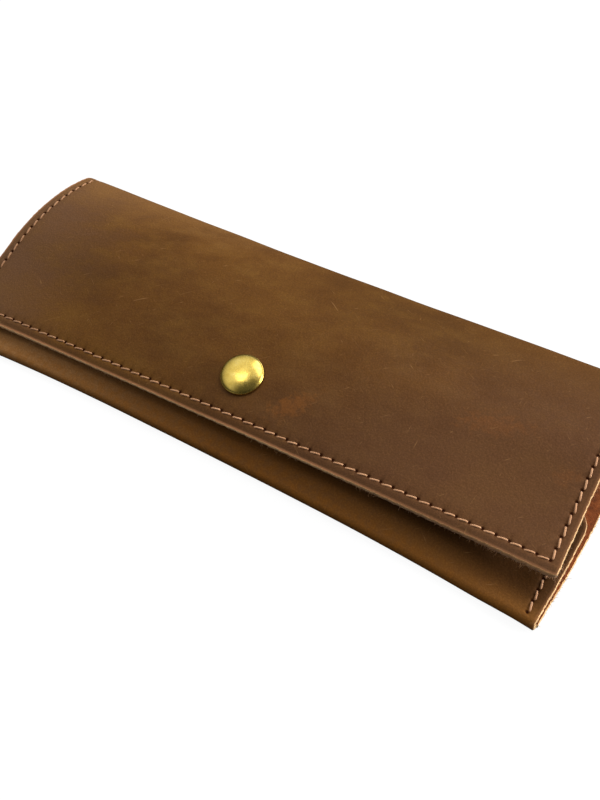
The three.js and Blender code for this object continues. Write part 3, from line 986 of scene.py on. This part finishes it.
def worn_spot(mat, place, ragged, spot):
    """Strength of one orange spot with a ragged outline."""
    centre, half_sizes, turn = spot
    oval = mat.stretched(place, (1 / half_sizes[0], 1 / half_sizes[1], 0.001), turn, centre)
    distance = mat.node("VectorMath", {0: oval}, operation="LENGTH").outputs["Value"]
    distance = mat.add(distance, mat.between(ragged, 0.3, 0.7, 0.5, -0.5))
    return mat.between(distance, 1.3, 0.2, 0.0, 0.55)


def mottled_brown(mat, long_way, mottle, cloud):
    """Brown that the oil has darkened unevenly."""
    patches = mat.noise(long_way, 0.034, 2.5, 0.55, 0.5)
    mat.base(patches, (0.3, DARK_OIL), (0.5, OIL), (0.7, LIGHT_OIL))
    warm = mat.between(mat.add(mat.times(mottle, 2.0), mat.times(cloud, 0.5)), 1.0, 1.9)
    mat.tint(mat.times(warm, 0.7), WARM_PATCH)
    mat.tint(mat.between(mottle, 0.48, 0.2, 0.0, 0.4), DARK_PATCH)


def flap_tones(mat, x, s, mottle):
    """Painted cool reflection at the front right, painted grey reflection and light at the left end,
    painted shade at the rear right, and a back fold that pales where bent, with painted light on its left
    part.
    """
    front_right = mat.math("SUBTRACT", mat.times(x, 0.8), s)
    # painted cool reflection, strongest towards the flap's front right
    cool = mat.between(mat.add(front_right, mat.times(mottle, 40.0)), -10.0, 55.0, 0.0, 0.65)
    mat.tint(cool, COOL_REFLECTION_BROWN)
    # painted grey reflection and painted light towards the flap's left end
    left_end = mat.between(mat.add(x, mat.times(mottle, 40.0)), -30.0, -85.0, 0.0, 0.75)
    mat.tint(left_end, GREY_LIGHT_AND_REFLECTION)
    # painted shade over the rear of the flap, stronger to the right
    rear_right = mat.times(mat.between(s, 35.0, 62.0, 0.0, 0.35), mat.between(x, -30.0, 30.0))
    mat.tint(rear_right, SHADED_BROWN)
    # the fold pales where bent; keeping it to the left part is painted light
    fold = mat.between(mat.add(s, mat.times(mottle, 24.0)), 58.0, 84.0, 0.0, 0.8)
    fold = mat.times(fold, mat.between(x, 10.0, -70.0))
    on_flap = mat.between(s, 104.0, 100.0)
    mat.tint(mat.times(fold, on_flap), FOLD_PALE_AND_LIGHT)


def panel_tones(mat, x, s, cloud):
    """Tan, with painted light to the left, orange along the bottom crease and painted shade under the flap.
    """
    on_panel = mat.between(s, PANEL_BEGINS - 8.0, PANEL_BEGINS + 3.0)
    # painted light, stronger towards the panel's left end
    left_light = mat.between(x, 15.0, -75.0, 0.0, 0.75)
    mat.tint(mat.times(on_panel, 0.65), PANEL_TAN)
    mat.tint(mat.times(on_panel, left_light), PANEL_LEFT_LIGHT)
    from_crease = mat.math("ABSOLUTE", mat.math("SUBTRACT", s, PANEL_BEGINS))
    crease = mat.between(from_crease, 9.0, 1.0)
    crease = mat.times(crease, mat.between(cloud, 0.35, 0.65, 0.1, 0.5))
    mat.tint(crease, CREASE_ORANGE)
    # painted shade under the flap's lip, stronger to the right
    under_flap_shading = mat.between(s, PANEL_BEGINS + 5.0, PANEL_BEGINS + 13.0, 0.0, 0.7)
    under_flap_shading = mat.times(under_flap_shading, mat.between(x, -60.0, 40.0, 0.5, 1.0))
    mat.tint(under_flap_shading, UNDER_FLAP_SHADE)


def grain_marks(mat, place, x, s, fine):
    """Painted shade on the front margin, speckle, scuffs, worn edges, and painted shade in the needle
    holes.
    """
    # painted shade on the flap's front margin
    mat.tint(mat.between(s, 3.0, 1.5, 0.0, 0.5), FRONT_MARGIN_SHADE)
    speckle = mat.between(fine, 0.4, 0.7, 0.86, 1.12)
    speckle = mat.node("CombineColor", {channel: speckle for channel in range(3)}).outputs[0]
    mat.colour = mat.mix(1.0, mat.colour, speckle, "MULTIPLY")
    mat.tint(mat.times(scuffs(mat, place), 0.4), SCUFF)
    wear = mat.times(mat.attribute("edge_wear"), mat.between(x, 20.0, 70.0, 1.0, 0.4))
    mat.tint(wear, WORN_EDGE)
    to_hole = mat.attribute("to_hole")
    # painted shade round and in the needle holes, which are only shallow dimples
    mat.tint(mat.between(to_hole, 0.85, 0.45, 0.0, 0.4), HOLE_RIM_SHADE)
    mat.tint(mat.between(to_hole, 0.5, 0.34), HOLE_SHADE)


def grain_side():
    """Oiled, waxed grain: mottled brown that pales where it is bent, with fine scuffs, and with painted
    light, shade and reflections in its colour.
    """
    mat = Material("oiled_grain")
    place = mat.attribute("hide_place")
    x, s, _ = mat.split(place)
    long_way = mat.stretched(place, (0.6, 1.0, 1.0), 0.25)
    mottle = mat.noise(long_way, 0.13, 5.0, 0.62)
    cloud = mat.noise(place, 0.5, 4.0, 0.6)
    fine = mat.noise(place, 2.1, 3.0, 0.6)
    mottled_brown(mat, long_way, mottle, cloud)
    for spot in WORN_SPOTS:
        mat.tint(worn_spot(mat, place, cloud, spot), WORN_ORANGE)
    flap_tones(mat, x, s, mottle)
    panel_tones(mat, x, s, cloud)
    grain_marks(mat, place, x, s, fine)

    pebbles = mat.cells(place, 1.15)
    wrinkles = mat.noise(mat.stretched(place, (1.0, 0.45, 1.0), 0.3), 0.55, 4.0, 0.6, 0.8)
    normal = mat.bump(wrinkles, 0.22, 0.5)
    normal = mat.bump(pebbles, 0.07, 0.55, normal)
    normal = mat.bump(fine, 0.05, 0.5, normal)
    roughness = mat.between(cloud, 0.3, 0.7, 0.48, 0.66)
    gloss = mat.between(mat.attribute("to_hole"), 0.5, 0.8, 0.0, 0.05)
    return mat.finish(Roughness=roughness, Specular_IOR_Level=gloss, Normal=normal)


def flesh_side():
    """Napped suede inside of the hide."""
    mat = Material("suede_flesh")
    place = mat.attribute("hide_place")
    nap = mat.noise(place, 0.35, 6.0, 0.7)
    hairs = mat.noise(mat.stretched(place, (3.0, 9.0, 3.0), 0.4), 1.0, 4.0, 0.7)
    mat.base(nap, (0.3, (70, 28, 12)), (0.55, (122, 58, 24)), (0.75, (160, 90, 44)))
    mat.tint(mat.between(hairs, 0.45, 0.75, 0.0, 0.3), (176, 112, 66))
    # painted shade in the needle holes on the flesh side
    mat.tint(mat.between(mat.attribute("to_hole"), 0.46, 0.32), (30, 12, 5))
    normal = mat.bump(nap, 0.3, 0.6)
    normal = mat.bump(hairs, 0.15, 0.9, normal)
    return mat.finish(
        Roughness=0.95, Specular_IOR_Level=0.1, Normal=normal,
        Sheen_Weight=0.35, Sheen_Roughness=0.6, Sheen_Tint=srgb(230, 170, 120),
    )


def cut_edge():
    """Raw edge: pale strands, darker under the skin, and with painted shade along the front right."""
    mat = Material("raw_cut_edge")
    place = mat.attribute("hide_place")
    x, s, depth = mat.split(place)
    strands = mat.noise(mat.stretched(place, (0.9, 0.9, 3.5)), 1.6, 4.0, 0.65)
    mat.base(strands, (0.3, (186, 132, 78)), (0.5, (232, 188, 128)), (0.7, (250, 222, 170)))
    skin = mat.between(depth, -0.25, -0.05)
    mat.tint(mat.times(skin, 0.3), (170, 116, 70))
    # painted shade along the front right of the flap's cut edge
    front = mat.times(mat.between(s, 1.0, 0.4), mat.between(x, 10.0, 75.0, 0.0, 0.7))
    mat.tint(front, (150, 100, 60))
    normal = mat.bump(strands, 0.2, 0.8)
    return mat.finish(Roughness=0.85, Specular_IOR_Level=0.2, Normal=normal, Sheen_Weight=0.2)


def linen_thread():
    """Waxed peach-tan thread, darker where it is worn towards the left end."""
    mat = Material("waxed_thread")
    place = mat.object_mm()
    x, _, _ = mat.split(place)
    batches = mat.noise(place, 0.25, 2.0)
    lint = mat.noise(place, 6.0, 3.0, 0.7)
    mat.base(batches, (0.3, (186, 134, 92)), (0.7, (212, 160, 116)))
    mat.tint(mat.between(x, 10.0, -75.0, 0.0, 0.6), (140, 98, 62))
    mat.tint(mat.between(lint, 0.35, 0.6, 0.4, 0.0), (120, 78, 48))
    normal = mat.bump(lint, 0.05, 0.7)
    return mat.finish(Roughness=0.7, Specular_IOR_Level=0.3, Normal=normal, Sheen_Weight=0.2)


def fibre_material():
    """Matt fibres in two browns."""
    mat = Material("loose_fibre")
    tone = mat.noise(mat.object_mm(), 0.7, 2.0)
    mat.base(tone, (0.35, (150, 100, 62)), (0.65, (208, 160, 112)))
    return mat.finish(Roughness=0.9, Specular_IOR_Level=0.15, Sheen_Weight=0.3)


def antique_brass():
    """Polished pale brass with a thin, uneven patina and hairline scratches."""
    mat = Material("antique_brass")
    place = mat.object_mm()
    patina = mat.noise(place, 0.35, 5.0, 0.6, 0.4)
    grime = mat.noise(place, 1.7, 4.0, 0.65)
    hairlines = mat.noise(mat.stretched(place, (0.5, 5.0, 0.5), 0.7), 1.0, 2.0, 0.5)
    mat.base(patina, (0.3, (190, 160, 70)), (0.55, (208, 180, 90)), (0.75, (222, 198, 116)))
    mat.tint(mat.between(grime, 0.5, 0.75, 0.0, 0.3), (160, 120, 48))
    roughness = mat.between(grime, 0.3, 0.75, 0.17, 0.3)
    normal = mat.bump(hairlines, 0.002, 0.3)
    return mat.finish(Metallic=1.0, Roughness=roughness, Normal=normal)


def pale_floor():
    """A floor that the camera sees as white paper, and that throws little light back up."""
    mat = Material("white_sweep")
    tone = mat.noise(mat.object_mm(), 0.002, 1.0)
    grey = mat.ramp(tone, (0.0, (0.1, 0.1, 0.1, 1.0)), (1.0, (0.12, 0.12, 0.12, 1.0)))
    paper = mat.node("BsdfDiffuse", {"Color": grey})
    glow = mat.node("Emission", {"Strength": 0.92})
    seen = mat.node("AddShader", {0: paper.outputs[0], 1: glow.outputs[0]})
    camera_ray = mat.node("LightPath").outputs["Is Camera Ray"]
    mixed = mat.node("MixShader", {0: camera_ray, 1: paper.outputs[0], 2: seen.outputs[0]})
    output = mat.tree.nodes["Material Output"]
    mat.tree.links.new(mixed.outputs[0], output.inputs["Surface"])
    return mat.material


# ---- build the pieces


def dress(piece, materials):
    """Give a piece its materials."""
    for material in materials:
        piece.data.materials.append(material)
    return piece


def bend_with_flap(piece, *nodes):
    """Bake a piece's placement into its mesh and hide the CAD parts it replaces."""
    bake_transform(piece)
    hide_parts(*nodes)


def stay_with_pouch(piece, *nodes):
    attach(piece, "pouch")
    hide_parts(*nodes)


def split_run(side):
    """A side run's holes down to the foot of the fold, and from there along the back."""
    join = flat_start(side * STITCH_X, BACK)
    flap = [hole for hole in SIDE_RUNS[side] if hole[1] <= join]
    return flap, SIDE_RUNS[side][len(flap) - 1:]


def build_leather():
    skins = [grain_side(), flesh_side(), cut_edge()]
    flap, flap_edge = sheet("soft_flap", flap_rows(), flap_columns(), flap_half, True, False)
    bend_with_flap(dress(flap, skins), "flap_hide")
    pouch, pouch_edge = sheet("soft_pouch", pouch_rows(), pouch_columns(), panel_half, False, True)
    stay_with_pouch(dress(pouch, skins), "pouch_hide")
    fluff = fibre_material()
    bend_with_flap(dress(fibres("flap_edge_fibres", flap_edge, FLAP_FIBRES, 11), [fluff]))
    stay_with_pouch(dress(fibres("pouch_edge_fibres", pouch_edge, POUCH_FIBRES, 12), [fluff]))


def sewn(name, parts, thread):
    return dress(make_mesh(name, *merge_parts(parts)), [thread])


def build_thread():
    thread = linen_thread()
    flap_runs = [front_run(), *(split_run(side)[0] for side in (-1, 1))]
    for name, places, node in (("flap_stitches", outer_places, "flap_border_needle_thread"),
                               ("flap_understitches", inner_places, "flap_border_bobbin_thread")):
        parts = [part for seed, run in enumerate(flap_runs, 20) for part in stitches(places(run), seed)]
        bend_with_flap(sewn(name, parts, thread), node)
    for side, word in ((-1, "left"), (1, "right")):
        back = split_run(side)[1]
        single = [hole for hole in back if on_hide(*hole)[0][1] > MOUTH_Y]
        parts = stitches(outer_places(PANEL_RUNS[side]), 31) + back_tack(PANEL_RUNS[side])
        parts += stitches(inner_places(single), 32)
        stay_with_pouch(sewn(f"{word}_seam_stitches", parts, thread), f"{word}_seam_needle_thread")
        parts = stitches(outer_places(back), 33)
        stay_with_pouch(sewn(f"{word}_seam_understitches", parts, thread), f"{word}_seam_bobbin_thread")


def build_snap():
    brass = antique_brass()
    flap_side = (("fine_cap", cap_outline(), "snap_cap"), ("fine_socket", socket_outline(), "snap_socket"))
    pouch_side = (("fine_stud", stud_outline(), "snap_stud"), ("fine_post", post_outline(), "snap_post"))
    for body, parts in (("flap", flap_side), ("pouch", pouch_side)):
        for name, outline, node in parts:
            piece = dress(turned(name, outline), [brass])
            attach(piece, body)
            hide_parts(node)
    ring = dress(spring_ring("fine_spring"), [brass])
    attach(ring, "flap")
    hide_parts("snap_spring")


# ---- camera, floor and light

CAMERA_MM = (91.78, -146.87, 190.31)
CAMERA_RIGHT = (0.86011, 0.51002, 0.00931)
CAMERA_UP = (-0.39488, 0.65417, 0.64508)
LENS = 37.85
CLEAR_OF_FLOOR = 0.02


def add_camera():
    right, up = Vector(CAMERA_RIGHT), Vector(CAMERA_UP)
    turn = Matrix((right, up, right.cross(up))).transposed().to_4x4()
    data = bpy.data.cameras.new("camera")
    data.lens = LENS
    data.clip_start = 0.01
    camera = add_object("camera", data)
    camera.matrix_world = Matrix.Translation(Vector(CAMERA_MM) * MM) @ turn
    bpy.context.scene.camera = camera


def add_floor():
    """A wide floor, a hair below the object."""
    half = 4000.0
    corners = [(-half, -half, 0), (half, -half, 0), (half, half, 0), (-half, half, 0)]
    floor = make_mesh("floor", corners, [(0, 1, 2, 3)])
    floor.data.materials.append(pale_floor())
    floor.location.z = -CLEAR_OF_FLOOR * MM


def area_light(name, place, size, watts):
    """A square light at a place in metres, facing the object."""
    data = bpy.data.lights.new(name, "AREA")
    data.size = size
    data.energy = watts
    light = add_object(name, data)
    light.location = place
    light.rotation_euler = (-Vector(place)).to_track_quat("-Z", "Y").to_euler()


def add_world():
    """White to the camera; to the object bright overhead, dim low down and on the camera's side."""
    world = bpy.data.worlds.new("white_room")
    world.use_nodes = True
    sky = Shader(world.node_tree)
    direction = sky.node("TexCoord").outputs["Generated"]
    _, _, height = sky.split(direction)
    bright = sky.between(height, 0.05, 0.9, 0.06, 1.3)
    to_camera = tuple(Vector(CAMERA_MM).normalized())
    facing = sky.node("VectorMath", {0: direction, 1: to_camera}, operation="DOT_PRODUCT").outputs["Value"]
    bright = sky.times(bright, sky.between(facing, 0.55, 0.93, 1.0, 0.1))
    seen = sky.node("LightPath").outputs["Is Camera Ray"]
    background = {"Strength": sky.math("MAXIMUM", seen, bright), "Color": (1, 1, 1, 1)}
    sky.fill(world.node_tree.nodes["Background"], background)
    bpy.context.scene.world = world


def add_light():
    area_light("window", (0.2, 0.62, 0.85), 0.8, 4.5)
    area_light("side_panel", (0.85, 0.42, 0.24), 0.5, 12.0)
    area_light("ceiling", (-0.3, -0.16, 1.05), 0.3, 1.0)
    bpy.context.scene.view_settings.view_transform = "Standard"


build_leather()
build_thread()
build_snap()
add_camera()
add_floor()
add_world()
add_light()
